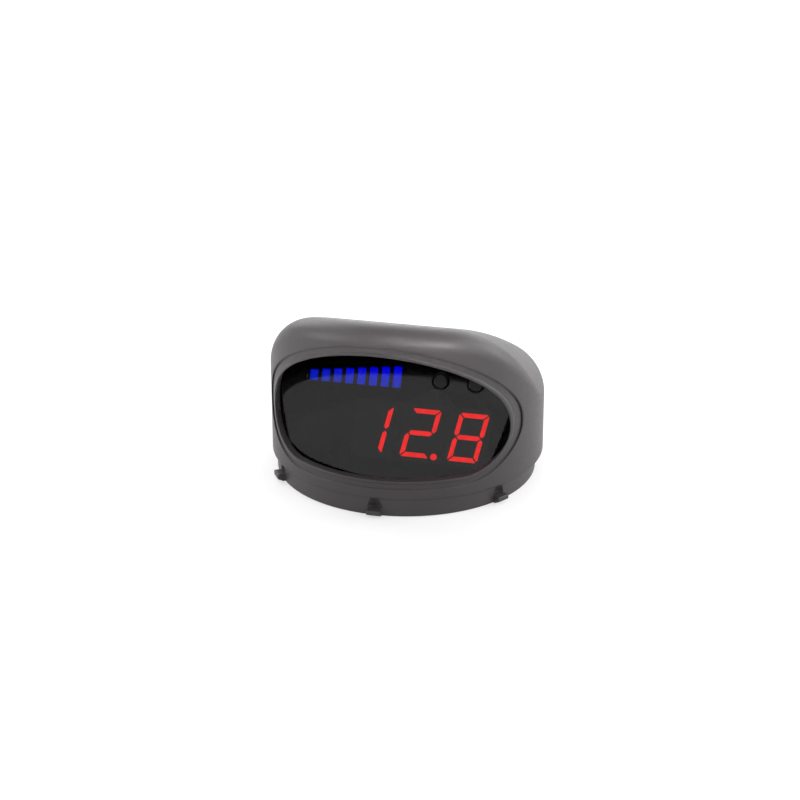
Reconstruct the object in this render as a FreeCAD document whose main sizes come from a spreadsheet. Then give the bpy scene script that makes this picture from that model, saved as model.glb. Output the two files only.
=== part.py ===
import FreeCAD, Part
import math
import os

import Sketcher

# Hooded digital gauge pod for a round dashboard opening.
#
# World frame, millimetres: +Z up, the display faces -Y, +X is the driver's right.  The origin is
# the centre of the collar's lower rim, which plugs into the opening.
#
# The display stack is modelled in a panel frame: x across, y up the tilted panel, z out of its
# face towards the driver.  Depths behind the face are therefore negative z.  The panel frame is
# tilted back from upright by face_tilt and its origin lies at (0, face_y, face_z).

doc = FreeCAD.newDocument("GaugePod")
sheet = doc.addObject("Spreadsheet::Sheet", "Sizes")
Vector = FreeCAD.Vector
X_AXIS = Vector(1, 0, 0)
Y_AXIS = Vector(0, 1, 0)
Z_AXIS = Vector(0, 0, 1)


class Dim:
    """A number together with the spreadsheet formula that gives it."""

    def __init__(self, value, text):
        self.value = value
        self.text = text

    def __add__(self, other):
        other = dim(other)
        return Dim(self.value + other.value, f"({self.text} + {other.text})")

    def __sub__(self, other):
        other = dim(other)
        return Dim(self.value - other.value, f"({self.text} - {other.text})")

    def __mul__(self, other):
        other = dim(other)
        return Dim(self.value * other.value, f"({self.text} * {other.text})")

    def __truediv__(self, other):
        other = dim(other)
        return Dim(self.value / other.value, f"({self.text} / {other.text})")

    def __radd__(self, other):
        return dim(other) + self

    def __rsub__(self, other):
        return dim(other) - self

    def __rmul__(self, other):
        return dim(other) * self

    def __neg__(self):
        return Dim(-self.value, f"(-1 * {self.text})")


def dim(number):
    if isinstance(number, Dim):
        return number
    return Dim(float(number), f"{float(number):.6f}")


def root(area):
    return Dim(math.sqrt(area.value), f"sqrt({area.text})")


def sine(angle):
    return Dim(math.sin(math.radians(angle.value)), f"sin({angle.text})")


def cosine(angle):
    return Dim(math.cos(math.radians(angle.value)), f"cos({angle.text})")


next_row = 1


def size(name, value):
    """Write one driving dimension to the sheet and return it."""
    global next_row
    sheet.set(f"A{next_row}", name)
    sheet.set(f"B{next_row}", str(value))
    sheet.setAlias(f"B{next_row}", name)
    next_row += 1
    return Dim(float(value), f"Sizes.{name}")


# ---------------------------------------------------------------- driving dimensions

# Hood, collar and crown
body_radius = size("body_radius", 36.2)
collar_step = size("collar_step", 1.7)
collar_height = size("collar_height", 4.7)
front_overhang = size("front_overhang", 0.15)
wall = size("wall", 2.1)
brow_height = size("brow_height", 52.4)
rear_height = size("rear_height", 20.8)
crown_radius = size("crown_radius", 500)
shoulder_radius = size("shoulder_radius", 20)
shoulder_overhang = size("shoulder_overhang", 0.6)
rim_radius = size("rim_radius", 4.5)
rear_depth = size("rear_depth", 25.75)
parting_gap = size("parting_gap", 0.05)

# Window in the front of the hood
window_pillar = size("window_pillar", 4.9)
window_sill = size("window_sill", 9.8)
window_waist = size("window_waist", 20.5)
window_crown = size("window_crown", 43.6)
window_corner = size("window_corner", 10.0)
lip_width = size("lip_width", 0.7)
groove_width = size("groove_width", 1.6)
groove_depth = size("groove_depth", 0.35)

# Snap tabs round the collar
tab_spacing = size("tab_spacing", 57)
tab_width = size("tab_width", 3.6)
tab_reach = size("tab_reach", 2.0)
tab_height = size("tab_height", 1.9)
tab_tip = size("tab_tip", 0.7)
tab_lead = size("tab_lead", 0.6)
relief_height = size("relief_height", 3.4)
relief_depth = size("relief_depth", 1.1)
relief_radius = size("relief_radius", 2.2)

# Display stack
face_tilt = size("face_tilt", 27)
face_y = size("face_y", -14.5)
face_z = size("face_z", 20)
fit_gap = size("fit_gap", 0.3)
lens_thickness = size("lens_thickness", 1.5)
lens_low = size("lens_low", 3.1)
film_thickness = size("film_thickness", 0.3)
flange_thickness = size("flange_thickness", 1.4)
frame_depth = size("frame_depth", 7.2)
frame_low = size("frame_low", 13.7)
frame_high = size("frame_high", 17.2)
frame_room = size("frame_room", 9.0)
frame_rib = size("frame_rib", 1.05)
board_thickness = size("board_thickness", 1.6)
board_overlap = size("board_overlap", 0.2)
board_low = size("board_low", 13.2)
board_high = size("board_high", 16.9)
board_corner = size("board_corner", 2.5)
board_screw_edge = size("board_screw_edge", 1.9)
board_screw_inset = size("board_screw_inset", 3.2)
board_screw_rise = size("board_screw_rise", 3.6)

# Seven-segment digits
digit_height = size("digit_height", 12.7)
digit_slant = size("digit_slant", 10)
digit_margin = size("digit_margin", 4.8)
digit_y = size("digit_y", -4.6)
legend_width = size("legend_width", 15.25)
segment_thickness = size("segment_thickness", 1.2)
segment_gap = size("segment_gap", 0.24)
segment_tip = size("segment_tip", 0.3)
segment_depth = size("segment_depth", 2.5)
point_radius = size("point_radius", 0.85)
point_offset = size("point_offset", 1.25)
point_drop = size("point_drop", 0.3)
module_spacing = size("module_spacing", 0.7)
module_height = size("module_height", 16.4)
module_gap = size("module_gap", 0.15)
pin_width = size("pin_width", 0.5)
pin_length = size("pin_length", 1.4)
pin_pitch = size("pin_pitch", 2.0)
pin_rows = size("pin_rows", 11.4)

# Eight-step bar
bar_count = 8
bar_edge = size("bar_edge", 3.6)
bar_spacing = size("bar_spacing", 1.09)
bar_to_button = size("bar_to_button", 9.7)
bar_low = size("bar_low", 6.6)
bar_first_height = size("bar_first_height", 2.8)
bar_height_step = size("bar_height_step", 0.39)
guide_margin = size("guide_margin", 1.0)
lamp_margin = size("lamp_margin", 0.25)
lamp_height = size("lamp_height", 0.8)

# Push buttons and their switches
button_margin = size("button_margin", 6.3)
button_pitch = size("button_pitch", 9.3)
button_y = size("button_y", 9.3)
button_radius = size("button_radius", 1.9)
button_hole_gap = size("button_hole_gap", 0.5)
button_proud = size("button_proud", 0.35)
button_travel = size("button_travel", 0.3)
button_flange = size("button_flange", 2.8)
button_flange_thickness = size("button_flange_thickness", 0.8)
button_skirt = size("button_skirt", 2.4)
button_length = size("button_length", 4.5)
switch_width = size("switch_width", 6.0)
switch_height = size("switch_height", 3.4)
switch_cover_thickness = size("switch_cover_thickness", 0.3)
switch_cavity = size("switch_cavity", 2.5)
switch_cavity_depth = size("switch_cavity_depth", 2.1)
plunger_radius = size("plunger_radius", 1.7)
plunger_gap = size("plunger_gap", 0.08)
plunger_flange = size("plunger_flange", 2.25)
plunger_flange_thickness = size("plunger_flange_thickness", 0.6)
plunger_play = size("plunger_play", 0.05)
plunger_bore_depth = size("plunger_bore_depth", 2.0)
dome_radius = size("dome_radius", 2.3)
stub_radius = size("stub_radius", 1.1)
button_edge = size("button_edge", 0.3)
button_rest_gap = size("button_rest_gap", 0.1)
dome_rise = size("dome_rise", 0.55)
dome_thickness = size("dome_thickness", 0.15)
pocket_gap = size("pocket_gap", 0.4)
window_margin = size("window_margin", 0.6)

# Fasteners
panel_lug_offset = size("panel_lug_offset", 3.0)
panel_lug_y = size("panel_lug_y", 8.2)
panel_lug_radius = size("panel_lug_radius", 2.5)
lug_depth = size("lug_depth", 4.0)
ear_thickness = size("ear_thickness", 1.6)
screw_radius = size("screw_radius", 1.0)
screw_head_radius = size("screw_head_radius", 1.9)
screw_head_height = size("screw_head_height", 1.3)
screw_recess = size("screw_recess", 0.6)
screw_clearance = size("screw_clearance", 0.15)
panel_screw_length = size("panel_screw_length", 5.0)
board_screw_length = size("board_screw_length", 5.5)
cover_screw_length = size("cover_screw_length", 5.5)
rear_screw_length = size("rear_screw_length", 8.0)
boss_radius = size("boss_radius", 3.0)

# Covers
cover_thickness = size("cover_thickness", 1.8)
cover_recess = size("cover_recess", 0.9)
cover_counterbore = size("cover_counterbore", 0.9)
cover_boss_inset = size("cover_boss_inset", 4.7)
cover_boss_height = size("cover_boss_height", 5.6)
port_width = size("port_width", 13.0)
port_length = size("port_length", 9.0)
port_corner = size("port_corner", 2.0)
port_y = size("port_y", 10.0)
port_rim_width = size("port_rim_width", 1.5)
port_rim_height = size("port_rim_height", 1.2)
rear_boss_inset = size("rear_boss_inset", 9.7)
rear_boss_z = size("rear_boss_z", 11.5)
rear_boss_length = size("rear_boss_length", 7.0)
rear_post_floor = size("rear_post_floor", 3.0)

# Parts on the back of the board
socket_width = size("socket_width", 12.0)
socket_depth = size("socket_depth", 6.6)
socket_length = size("socket_length", 7.0)
socket_wall = size("socket_wall", 0.9)
socket_floor = size("socket_floor", 1.2)
socket_y = size("socket_y", -1.4)
contact_count = 4
contact_pitch = size("contact_pitch", 2.0)
contact_width = size("contact_width", 0.5)
contact_length = size("contact_length", 4.2)
can_radius = size("can_radius", 3.15)
can_height = size("can_height", 7.4)
can_groove = size("can_groove", 0.3)
can_bevel = size("can_bevel", 0.4)
can_inset = size("can_inset", 9.9)
can_y = size("can_y", 7.5)
chip_width = size("chip_width", 7.0)
chip_height = size("chip_height", 1.2)
driver_length = size("driver_length", 10.3)
driver_width = size("driver_width", 7.5)
driver_height = size("driver_height", 2.3)
driver_inset = size("driver_inset", 12.9)
regulator_length = size("regulator_length", 6.5)
regulator_width = size("regulator_width", 3.5)
regulator_height = size("regulator_height", 1.7)
regulator_x = size("regulator_x", -7.5)
passive_y = size("passive_y", 7.5)
crystal_length = size("crystal_length", 5.0)
crystal_width = size("crystal_width", 3.2)
crystal_height = size("crystal_height", 1.1)
crystal_inset = size("crystal_inset", 8.4)
crystal_y = size("crystal_y", 7.5)
resistor_count = 8
resistor_length = size("resistor_length", 1.6)
resistor_width = size("resistor_width", 0.8)
resistor_height = size("resistor_height", 0.45)
resistor_pitch = size("resistor_pitch", 2.6)
resistor_x = size("resistor_x", -10.0)
resistor_y = size("resistor_y", 13.5)
capacitor_count = 4
capacitor_length = size("capacitor_length", 2.0)
capacitor_width = size("capacitor_width", 1.25)
capacitor_height = size("capacitor_height", 0.9)
capacitor_pitch = size("capacitor_pitch", 3.4)
capacitor_x = size("capacitor_x", 1.5)

doc.recompute()

# ---------------------------------------------------------------- derived dimensions

collar_radius = body_radius - collar_step
body_shift = collar_step - front_overhang
front_y = body_shift - body_radius
rear_y = body_shift + body_radius
parting_y = rear_y - rear_depth
window_half_width = body_radius - window_pillar
cover_boss_x = collar_radius - cover_boss_inset
rear_boss_x = body_radius - rear_boss_inset
frame_half_width = body_radius - frame_room
board_half_width = frame_half_width + board_overlap
panel_lug_x = frame_half_width + panel_lug_offset
cover_low = cover_recess
cover_high = cover_recess + cover_thickness
film_back = lens_thickness + film_thickness
flange_back = film_back + flange_thickness
board_front = film_back + frame_depth
board_back = board_front + board_thickness
switch_front = board_front - switch_height
switch_top = switch_front - switch_cover_thickness
plunger_top = button_length - plunger_bore_depth
button_outer_x = frame_half_width - button_margin
button_inner_x = button_outer_x - button_pitch
button_hole = button_radius + button_hole_gap
digit_pitch = (2 * frame_half_width - legend_width - frame_rib) / 3
digit_width = digit_pitch - digit_margin
digit_right_x = frame_half_width - frame_rib - digit_pitch / 2 + module_spacing / 2
module_width = digit_pitch - module_spacing
bar_left_x = bar_edge - frame_half_width
bar_pitch = (button_inner_x - bar_to_button - bar_left_x) / bar_count
bar_width = bar_pitch - bar_spacing
can_x = can_inset - board_half_width
driver_x = driver_inset - board_half_width
crystal_x = board_half_width - crystal_inset
tilt_sine = sine(face_tilt)
tilt_cosine = cosine(face_tilt)


# ---------------------------------------------------------------- helpers

def bind(obj, prop, value):
    """Tie one property to the sheet."""
    value = dim(value)
    obj.setExpression(prop, value.text)


def place(obj, x=0, y=0, z=0):
    bind(obj, "Placement.Base.x", x)
    bind(obj, "Placement.Base.y", y)
    bind(obj, "Placement.Base.z", z)
    return obj


def turn(obj, axis, angle):
    obj.Placement = FreeCAD.Placement(obj.Placement.Base, FreeCAD.Rotation(axis, dim(angle).value))
    bind(obj, "Placement.Rotation.Angle", angle)
    return obj


def on_panel(obj):
    """Carry a piece from the panel frame to its place behind the window."""
    turn(obj, X_AXIS, 90 - face_tilt)
    return place(obj, 0, face_y, face_z)


def box(name, length, width, height, corner=(0, 0, 0)):
    obj = doc.addObject("Part::Box", name)
    bind(obj, "Length", length)
    bind(obj, "Width", width)
    bind(obj, "Height", height)
    return place(obj, *corner)


def centred_box(name, length, width, low, high, centre=(0, 0)):
    """A box centred in x and y at a point, between two heights."""
    corner = (centre[0] - length / 2, centre[1] - width / 2, low)
    return box(name, length, width, high - low, corner)


def cylinder(name, radius, height, base=(0, 0, 0), axis=None):
    obj = doc.addObject("Part::Cylinder", name)
    bind(obj, "Radius", radius)
    bind(obj, "Height", height)
    if axis is not None:
        obj.Placement = FreeCAD.Placement(Vector(), FreeCAD.Rotation(Z_AXIS, axis))
    return place(obj, *base)


def combine(kind, name, base, tool):
    obj = doc.addObject(kind, name)
    obj.Base = base
    obj.Tool = tool
    obj.Refine = False
    return obj


def cut(name, base, tool):
    return combine("Part::Cut", name, base, tool)


def common(name, base, tool):
    return combine("Part::Common", name, base, tool)


def fuse(name, shapes):
    obj = doc.addObject("Part::MultiFuse", name)
    obj.Shapes = shapes
    obj.Refine = False
    return obj


def origin_plane(body, role):
    return next(plane for plane in body.Origin.OriginFeatures if plane.Role == role)


def new_body(name):
    return doc.addObject("PartDesign::Body", name)


def new_sketch(body, name, role="XY_Plane", offset=0):
    """A sketch on one of the body's own origin planes, lifted along its normal."""
    sketch = body.newObject("Sketcher::SketchObject", name)
    sketch.AttachmentSupport = [(origin_plane(body, role), "")]
    sketch.MapMode = "FlatFace"
    bind(sketch, "AttachmentOffset.Base.z", offset)
    return sketch


def pin_point(sketch, shape, point, x, y):
    """Hold one point of a sketch at a place given by the sheet."""
    for kind, value in (("DistanceX", dim(x)), ("DistanceY", dim(y))):
        index = sketch.addConstraint(Sketcher.Constraint(kind, -1, 1, shape, point, value.value))
        sketch.setExpression(f"Constraints[{index}]", value.text)


def draw_outline(sketch, corners):
    """A closed outline of straight lines through corners given as (x, y)."""
    points = [Vector(dim(x).value, dim(y).value, 0) for x, y in corners]
    first = sketch.GeometryCount
    for start, end in zip(points, points[1:] + points[:1]):
        sketch.addGeometry(Part.LineSegment(start, end))
    count = len(points)
    for step, (x, y) in enumerate(corners):
        following = first + (step + 1) % count
        sketch.addConstraint(Sketcher.Constraint("Coincident", first + step, 2, following, 1))
        pin_point(sketch, first + step, 1, x, y)


def draw_rectangle(sketch, width, height, centre=(0, 0)):
    left = centre[0] - dim(width) / 2
    right = centre[0] + dim(width) / 2
    low = centre[1] - dim(height) / 2
    high = centre[1] + dim(height) / 2
    draw_outline(sketch, [(left, low), (right, low), (right, high), (left, high)])


def draw_circle(sketch, radius, centre=(0, 0)):
    middle = Vector(dim(centre[0]).value, dim(centre[1]).value, 0)
    shape = sketch.addGeometry(Part.Circle(middle, Z_AXIS, dim(radius).value))
    pin_point(sketch, shape, 3, *centre)
    index = sketch.addConstraint(Sketcher.Constraint("Radius", shape, dim(radius).value))
    sketch.setExpression(f"Constraints[{index}]", dim(radius).text)


def pad(body, sketch, length, name):
    feature = body.newObject("PartDesign::Pad", name)
    feature.Profile = sketch
    bind(feature, "Length", length)
    sketch.Visibility = False
    return feature


def pocket(body, sketch, length, name, upwards=False):
    """Cut a sketch into the body: downwards, against its normal, unless told otherwise."""
    feature = body.newObject("PartDesign::Pocket", name)
    feature.Profile = sketch
    feature.Reversed = upwards
    bind(feature, "Length", length)
    return feature


def revolve(body, corners, name):
    """Revolve a half profile, given as (radius, height), about the body's Z axis."""
    sketch = new_sketch(body, f"{name}_profile", "XZ_Plane")
    draw_outline(sketch, corners)
    feature = body.newObject("PartDesign::Revolution", name)
    feature.Profile = sketch
    feature.ReferenceAxis = (sketch, ["V_Axis"])
    feature.Angle = 360
    return feature


def compound(name, shapes):
    """Several separate solids of one kind kept as one node."""
    obj = doc.addObject("Part::Compound", name)
    obj.Links = shapes
    return obj


nodes = []


def node(obj, label):
    """Name a finished sub-part: the label is also its file name."""
    obj.Label = label
    nodes.append(obj)
    return obj


# ---------------------------------------------------------------- hood and its cavity

def crown_centre():
    """Centre of the large circle through the brow's and the rear's top edges, seen from the side."""
    run = rear_y - front_y
    fall = rear_height - brow_height
    chord = root(run * run + fall * fall)
    reach = root(crown_radius * crown_radius - chord * chord / 4)
    centre_y = (front_y + rear_y) / 2 + reach * fall / chord
    centre_z = (brow_height + rear_height) / 2 - reach * run / chord
    return centre_y, centre_z


def hood_form(name, inset, floor):
    """The upper body, offset inwards: an upright round form under a long crown with soft shoulders."""
    centre_y, centre_z = crown_centre()
    roll = new_body(f"{name}_roll")
    crown_line = new_sketch(roll, f"{name}_crown_line", "YZ_Plane")
    draw_circle(crown_line, crown_radius - inset, (centre_y, centre_z))
    crown = pad(roll, crown_line, 2 * (body_radius + shoulder_overhang - inset), f"{name}_crown")
    crown.SideType = "Symmetric"
    doc.recompute()
    shoulders = roll.newObject("PartDesign::Fillet", f"{name}_shoulders")
    shoulders.Base = (crown, [f"Edge{index + 1}" for index, edge in enumerate(crown.Shape.Edges) if edge.Closed])
    bind(shoulders, "Radius", shoulder_radius - inset)
    upright = cylinder(f"{name}_upright", body_radius - inset, brow_height, (0, body_shift, floor))
    blank = common(f"{name}_blank", upright, roll)
    doc.recompute()
    rim = [index + 1 for index, edge in enumerate(blank.Shape.Edges)
           if edge.BoundBox.ZMin > floor.value + 1 and edge.BoundBox.XLength > 1 and edge.BoundBox.YLength > 1]
    rounded = doc.addObject("Part::Fillet", name)
    rounded.Base = blank
    radius = (rim_radius - inset).value
    rounded.Edges = [(index, radius, radius) for index in rim]
    return rounded


def cavity_form(name, gap, floor):
    """The space inside the shells, drawn in by a gap, from a floor height upwards."""
    upper = hood_form(f"{name}_upper", wall + gap, collar_height + wall)
    lower = cylinder(f"{name}_lower", collar_radius - wall - gap, collar_height + wall - floor + fit_gap,
                     (0, 0, floor))
    return fuse(name, [upper, lower])


def window_prism(name, margin):
    """The arched window opening, widened by a margin, as a prism through the front wall."""
    half = (window_half_width + margin).value
    sill = (window_sill - margin).value
    waist = window_waist.value
    crown = (window_crown + margin - window_waist).value
    corner = (window_corner + margin).value
    corner_x = half - corner
    corner_z = sill + corner
    arch = Part.ArcOfEllipse(Part.Ellipse(Vector(0, 0, 0), half, crown), 0, math.pi).toShape()
    arch.translate(Vector(0, waist, 0))

    def corner_arc(side):
        centre = Vector(side * corner_x, corner_z, 0)
        diagonal = corner * math.sqrt(0.5)
        start = centre + Vector(side * corner, 0, 0)
        middle = centre + Vector(side * diagonal, -diagonal, 0)
        end = centre + Vector(0, -corner, 0)
        return Part.Arc(start, middle, end).toShape()

    edges = [
        arch,
        Part.makeLine(Vector(half, waist, 0), Vector(half, corner_z, 0)),
        corner_arc(1),
        Part.makeLine(Vector(-corner_x, sill, 0), Vector(corner_x, sill, 0)),
        corner_arc(-1),
        Part.makeLine(Vector(-half, waist, 0), Vector(-half, corner_z, 0)),
    ]
    outline = Part.Face(Part.Wire(Part.__sortEdges__(edges)))
    prism = doc.addObject("Part::Feature", name)
    prism.Shape = outline.extrude(Vector(0, 0, 2 * body_radius.value))
    turn(prism, X_AXIS, 90)
    return prism


# ---------------------------------------------------------------- shells

hood_outer = hood_form("hood_outer", dim(0), collar_height)
collar_outer = cylinder("collar_outer", collar_radius, collar_height)
cavity = cavity_form("cavity", dim(0), -fit_gap)

# Snap tabs: a hooked profile turned round the collar, kept only in six narrow sectors, three at
# the front and three opposite them.
tab_angles = [-90 + tab_spacing.value * step for step in (-1, 0, 1)]
tab_ring = new_body("tab_ring")
root_radius = collar_radius - wall / 2
revolve(tab_ring, [
    (root_radius, 0),
    (collar_radius + tab_lead, 0),
    (collar_radius + tab_reach, tab_tip),
    (collar_radius + tab_reach, tab_height),
    (root_radius, tab_height),
], "tab_hook")


def tab_sectors(name):
    """Radial bars, one through each tab, that cut a turned ring into separate tabs."""
    bars = []
    for angle in tab_angles:
        reach = 3 * collar_radius
        bar = doc.addObject("Part::Box", f"{name}_{len(bars)}")
        bind(bar, "Length", reach)
        bind(bar, "Width", tab_width)
        bind(bar, "Height", 4 * collar_height)
        turn(bar, Z_AXIS, angle)
        along = reach / 2
        across = tab_width / 2
        place(bar,
              across * math.sin(math.radians(angle)) - along * math.cos(math.radians(angle)),
              -along * math.sin(math.radians(angle)) - across * math.cos(math.radians(angle)),
              -collar_height)
        bars.append(bar)
    return fuse(name, bars)


snap_tabs = common("snap_tabs", tab_ring, tab_sectors("tab_bars"))


def relief_scoop(name, angle):
    """A round-bottomed groove above one tab: its axis leans outwards, so it fades out going up."""
    turned = math.radians(angle)
    lean = math.atan2(relief_depth.value, relief_height.value)
    foot = collar_radius + relief_radius - 2 * relief_depth
    axis = Vector(math.sin(lean) * math.cos(turned), math.sin(lean) * math.sin(turned), math.cos(lean))
    return cylinder(name, relief_radius, 3 * relief_height,
                    (foot * math.cos(turned), foot * math.sin(turned), tab_height - relief_height), axis)


relief_band = cylinder("relief_band", 2 * collar_radius, collar_height - tab_height, (0, 0, tab_height))
scoops = [relief_scoop(f"scoop_{side}_{step}", tab_angles[step] + side) for side in (0, 180) for step in range(3)]
tab_reliefs = common("tab_reliefs", fuse("scoops", scoops), relief_band)

# Window: the opening through the front wall, and a shallow channel that leaves a narrow lip round
# it.  They follow the curved wall, because an upright core keeps them out of what is behind.


def wall_window(name, margin, depth):
    core = cylinder(f"{name}_core", body_radius - depth, 2 * brow_height, (0, body_shift, -collar_height))
    return cut(name, window_prism(f"{name}_prism", margin), core)


window_cut = wall_window("window_cut", dim(0), wall + fit_gap)
lip_groove = cut("lip_groove", wall_window("groove_outer", lip_width + groove_width, groove_depth),
                 window_prism("groove_inner", lip_width))

# The shells part on an upright plane; the collar below stays whole on the front one.
span = 4 * body_radius
front_half = box("front_half", span, span, span, (-span / 2, parting_y - span, 0))
front_form = common("front_form", hood_outer, front_half)
front_skin = cut("front_skin", fuse("front_solid", [front_form, collar_outer]), cavity)

# Everything inside the shell that stands on its wall is kept out of the window's way and
# inside the outer surface.
boss_limit = hood_form("boss_limit", wall / 2, collar_height)
outer_zone = fuse("outer_zone", [boss_limit, cylinder("collar_limit", collar_radius - wall / 2, collar_height)])


def panel_lug(side, name):
    """A lug on the side wall that takes one screw of the display frame from behind."""
    width = 2 * panel_lug_radius + 3 * wall
    lug = centred_box(name, width, 2 * panel_lug_radius, -flange_back - lug_depth, -flange_back,
                      (side * (panel_lug_x - panel_lug_radius + width / 2), panel_lug_y))
    hole = cylinder(f"{name}_pilot", screw_radius, panel_screw_length,
                    (side * panel_lug_x, panel_lug_y, -flange_back - lug_depth - ear_thickness))
    return on_panel(cut(f"{name}_drilled", lug, hole))


def cover_boss(angle, name):
    """A boss at the foot of the collar wall that takes one screw of the base cover."""
    x = cover_boss_x * math.cos(math.radians(angle))
    y = cover_boss_x * math.sin(math.radians(angle))
    boss = cylinder(name, boss_radius, cover_boss_height, (x, y, cover_high))
    hole = cylinder(f"{name}_pilot", screw_radius, cover_screw_length, (x, y, cover_low + cover_counterbore))
    return cut(f"{name}_drilled", boss, hole)


def rear_boss(side, name):
    """A boss on the front shell's side wall that the rear cover's screw runs into."""
    height = 2 * boss_radius
    boss = box(name, 4 * boss_radius, rear_boss_length, height,
               (side * (rear_boss_x + boss_radius) - 2 * boss_radius,
                parting_y - rear_boss_length, rear_boss_z - boss_radius))
    hole = cylinder(f"{name}_pilot", screw_radius, rear_boss_length,
                    (side * rear_boss_x, parting_y, rear_boss_z), -Y_AXIS)
    return cut(f"{name}_drilled", boss, hole)


cover_angles = (0, 90, 180)
lugs = [panel_lug(1, "lug_right"), panel_lug(-1, "lug_left")]
cover_bosses = [cover_boss(angle, f"cover_boss_{angle}") for angle in cover_angles]
rear_bosses = [rear_boss(1, "rear_boss_right"), rear_boss(-1, "rear_boss_left")]
inner_bosses = common("inner_bosses", fuse("all_bosses", lugs + cover_bosses + rear_bosses), outer_zone)

shell_solid = fuse("shell_solid", [front_skin, snap_tabs, inner_bosses])
shell_tools = fuse("shell_tools", [window_cut, lip_groove, tab_reliefs])
node(cut("hood_shell_cut", shell_solid, shell_tools), "hood_shell")

# Rear cover: the shell behind the parting plane, with two screw posts.
rear_zone = box("rear_zone", span, span, span, (-span / 2, parting_y + parting_gap, collar_height + parting_gap))
rear_skin = cut("rear_skin", common("rear_form", hood_outer, rear_zone), cavity)


def rear_post(side, name):
    """A hollow post from the parting plane back to the rear wall, open to a screwdriver."""
    post = box(name, 4 * boss_radius, 2 * body_radius, 2 * boss_radius,
               (side * (rear_boss_x + boss_radius) - 2 * boss_radius,
                parting_y + parting_gap, rear_boss_z - boss_radius))
    return post


def rear_bores(side, name):
    """A screw's clearance hole and the wider bore its head and driver come in by."""
    at = (side * rear_boss_x, parting_y, rear_boss_z)
    driver = (at[0], parting_y + rear_post_floor, at[2])
    clearance = cylinder(f"{name}_clearance", screw_radius + screw_clearance, 2 * body_radius, at, Y_AXIS)
    recess = cylinder(f"{name}_recess", screw_head_radius + screw_clearance, 2 * body_radius, driver, Y_AXIS)
    return [clearance, recess]


posts = common("posts", fuse("all_posts", [rear_post(1, "post_right"), rear_post(-1, "post_left")]), boss_limit)
rear_solid = fuse("rear_solid", [rear_skin, posts])
rear_tools = fuse("rear_tools", rear_bores(1, "post_right") + rear_bores(-1, "post_left"))
node(cut("rear_cover_cut", rear_solid, rear_tools), "rear_cover")

# ---------------------------------------------------------------- screws

def screw(name, length, recess_radius=None):
    """A pan-head screw along Z: the head's underside at z = 0 and the thread below it."""
    body = new_body(name)
    revolve(body, [
        (0, -length),
        (screw_radius, -length),
        (screw_radius, 0),
        (screw_head_radius, 0),
        (screw_head_radius, screw_head_height * 0.55),
        (screw_head_radius * 0.8, screw_head_height),
        (0, screw_head_height),
    ], f"{name}_turned")
    cross = new_sketch(body, f"{name}_cross", "XY_Plane", screw_head_height)
    arm = screw_head_radius * 0.6
    blade = screw_head_radius * 0.14
    draw_outline(cross, [
        (-arm, -blade), (-blade, -blade), (-blade, -arm), (blade, -arm),
        (blade, -blade), (arm, -blade), (arm, blade), (blade, blade),
        (blade, arm), (-blade, arm), (-blade, blade), (-arm, blade),
    ])
    pocket(body, cross, screw_recess, f"{name}_drive")
    return body


rear_screw_heads = []
for side, name in ((1, "rear_screw_right"), (-1, "rear_screw_left")):
    piece = turn(screw(name, rear_screw_length), X_AXIS, -90)
    rear_screw_heads.append(place(piece, side * rear_boss_x, parting_y + rear_post_floor, rear_boss_z))
node(compound("rear_screw_pair", rear_screw_heads), "rear_screws")

cover_screw_heads = []
for angle in cover_angles:
    piece = turn(screw(f"cover_screw_{angle}", cover_screw_length), X_AXIS, 180)
    cover_screw_heads.append(place(piece, cover_boss_x * math.cos(math.radians(angle)),
                                   cover_boss_x * math.sin(math.radians(angle)),
                                   cover_low + cover_counterbore))
node(compound("cover_screw_set", cover_screw_heads), "cover_screws")

panel_screw_heads = []
for side, name in ((1, "panel_screw_right"), (-1, "panel_screw_left")):
    piece = turn(screw(name, panel_screw_length), X_AXIS, 180)
    panel_screw_heads.append(place(piece, side * panel_lug_x, panel_lug_y,
                                   -flange_back - lug_depth - ear_thickness))
panel_screws = on_panel(compound("panel_screw_pair", panel_screw_heads))
node(panel_screws, "panel_screws")

board_screw_places = (
    (-board_half_width + board_screw_inset, -board_low + board_screw_rise, "board_screw_low"),
    (-board_half_width + board_screw_inset, board_high - board_screw_edge, "board_screw_left"),
    (board_half_width - board_screw_inset, board_high - board_screw_edge, "board_screw_right"),
)
board_screw_heads = []
for x, y, name in board_screw_places:
    piece = turn(screw(name, board_screw_length), X_AXIS, 180)
    board_screw_heads.append(place(piece, x, y, -board_back))
node(on_panel(compound("board_screw_set", board_screw_heads)), "board_screws")

# ---------------------------------------------------------------- base cover

base_cover = new_body("base_cover_body")
disc_sketch = new_sketch(base_cover, "disc_outline", "XY_Plane", cover_low)
draw_circle(disc_sketch, collar_radius - wall - parting_gap * 3)
pad(base_cover, disc_sketch, cover_thickness, "disc")
port_sketch = new_sketch(base_cover, "port_outline", "XY_Plane", cover_high)
draw_rectangle(port_sketch, port_width, port_length, (0, port_y))
pocket(base_cover, port_sketch, cover_thickness, "cable_port")
screw_sketch = new_sketch(base_cover, "screw_holes", "XY_Plane", cover_high)
for angle in cover_angles:
    draw_circle(screw_sketch, screw_radius + screw_clearance,
                (cover_boss_x * math.cos(math.radians(angle)), cover_boss_x * math.sin(math.radians(angle))))
pocket(base_cover, screw_sketch, cover_thickness, "screw_clearance")
head_sketch = new_sketch(base_cover, "head_recesses", "XY_Plane", cover_low + cover_counterbore)
for angle in cover_angles:
    draw_circle(head_sketch, screw_head_radius + screw_clearance,
                (cover_boss_x * math.cos(math.radians(angle)), cover_boss_x * math.sin(math.radians(angle))))
pocket(base_cover, head_sketch, cover_counterbore, "head_recess")
rib_sketch = new_sketch(base_cover, "rib_outline", "XY_Plane", cover_high)
draw_rectangle(rib_sketch, port_width + 2 * port_rim_width, port_length + 2 * port_rim_width, (0, port_y))
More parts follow.
